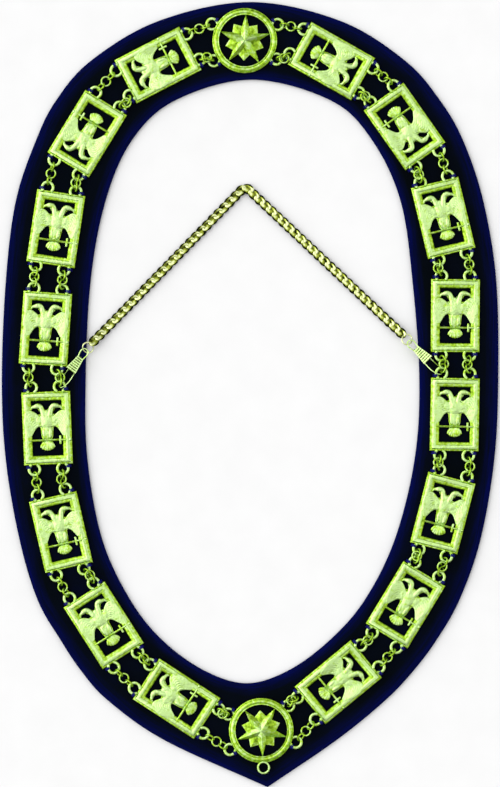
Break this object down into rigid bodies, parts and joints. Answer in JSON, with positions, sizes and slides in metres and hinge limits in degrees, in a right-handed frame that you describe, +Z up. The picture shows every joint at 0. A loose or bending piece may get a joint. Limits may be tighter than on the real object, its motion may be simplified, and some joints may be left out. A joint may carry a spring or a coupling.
{
  "type": "chain collar",
  "caption": "Regalia collar laid flat: velvet band with pierced eagle plaques and star medallions linked by small rings, and a curb chain hooked across the neck opening.",
  "frame": {"origin": "on the table under the middle of the laid collar", "axes": "+Y to the back of the neck, +X to the right seen from above, +Z up from the table"},
  "size_m": [0.3581, 0.5652, 0.0102],
  "materials": {
    "velvet": "dark blue velvet",
    "gilt": "polished pale gilt",
    "chain_gilt": "polished gilt"
  },
  "bodies": {
    "root": {"velvet_band": "velvet", "eagle_plaque_left_1": "gilt", "eagle_plaque_left_2": "gilt", "eagle_plaque_left_3": "gilt", "eagle_plaque_left_4": "gilt", "eagle_plaque_left_5": "gilt", "eagle_plaque_left_6": "gilt", "eagle_plaque_left_7": "gilt", "eagle_plaque_left_8": "gilt", "eagle_plaque_right_1": "gilt", "eagle_plaque_right_2": "gilt", "eagle_plaque_right_3": "gilt", "eagle_plaque_right_4": "gilt", "eagle_plaque_right_5": "gilt", "eagle_plaque_right_6": "gilt", "eagle_plaque_right_7": "gilt", "eagle_plaque_right_8": "gilt", "star_medallion_back": "gilt", "star_medallion_front": "gilt", "ring_run_left_1_outer": "gilt", "ring_run_left_2_outer": "gilt", "ring_run_left_3_outer": "gilt", "ring_run_left_4_outer": "gilt", "ring_run_left_5_outer": "gilt", "ring_run_left_6_outer": "gilt", "ring_run_left_7_outer": "gilt", "ring_run_left_8_outer": "gilt", "ring_run_left_9_outer": "gilt", "ring_run_left_1_inner": "gilt", "ring_run_left_2_inner": "gilt", "ring_run_left_3_inner": "gilt", "ring_run_left_4_inner": "gilt", "ring_run_left_5_inner": "gilt", "ring_run_left_6_inner": "gilt", "ring_run_left_7_inner": "gilt", "ring_run_left_8_inner": "gilt", "ring_run_left_9_inner": "gilt", "ring_run_right_1_outer": "gilt", "ring_run_right_2_outer": "gilt", "ring_run_right_3_outer": "gilt", "ring_run_right_4_outer": "gilt", "ring_run_right_5_outer": "gilt", "ring_run_right_6_outer": "gilt", "ring_run_right_7_outer": "gilt", "ring_run_right_8_outer": "gilt", "ring_run_right_9_outer": "gilt", "ring_run_right_1_inner": "gilt", "ring_run_right_2_inner": "gilt", "ring_run_right_3_inner": "gilt", "ring_run_right_4_inner": "gilt", "ring_run_right_5_inner": "gilt", "ring_run_right_6_inner": "gilt", "ring_run_right_7_inner": "gilt", "ring_run_right_8_inner": "gilt", "ring_run_right_9_inner": "gilt", "curb_chain": "chain_gilt", "chain_hook_left": "gilt", "chain_hook_right": "gilt"}
  },
  "joints": []
}
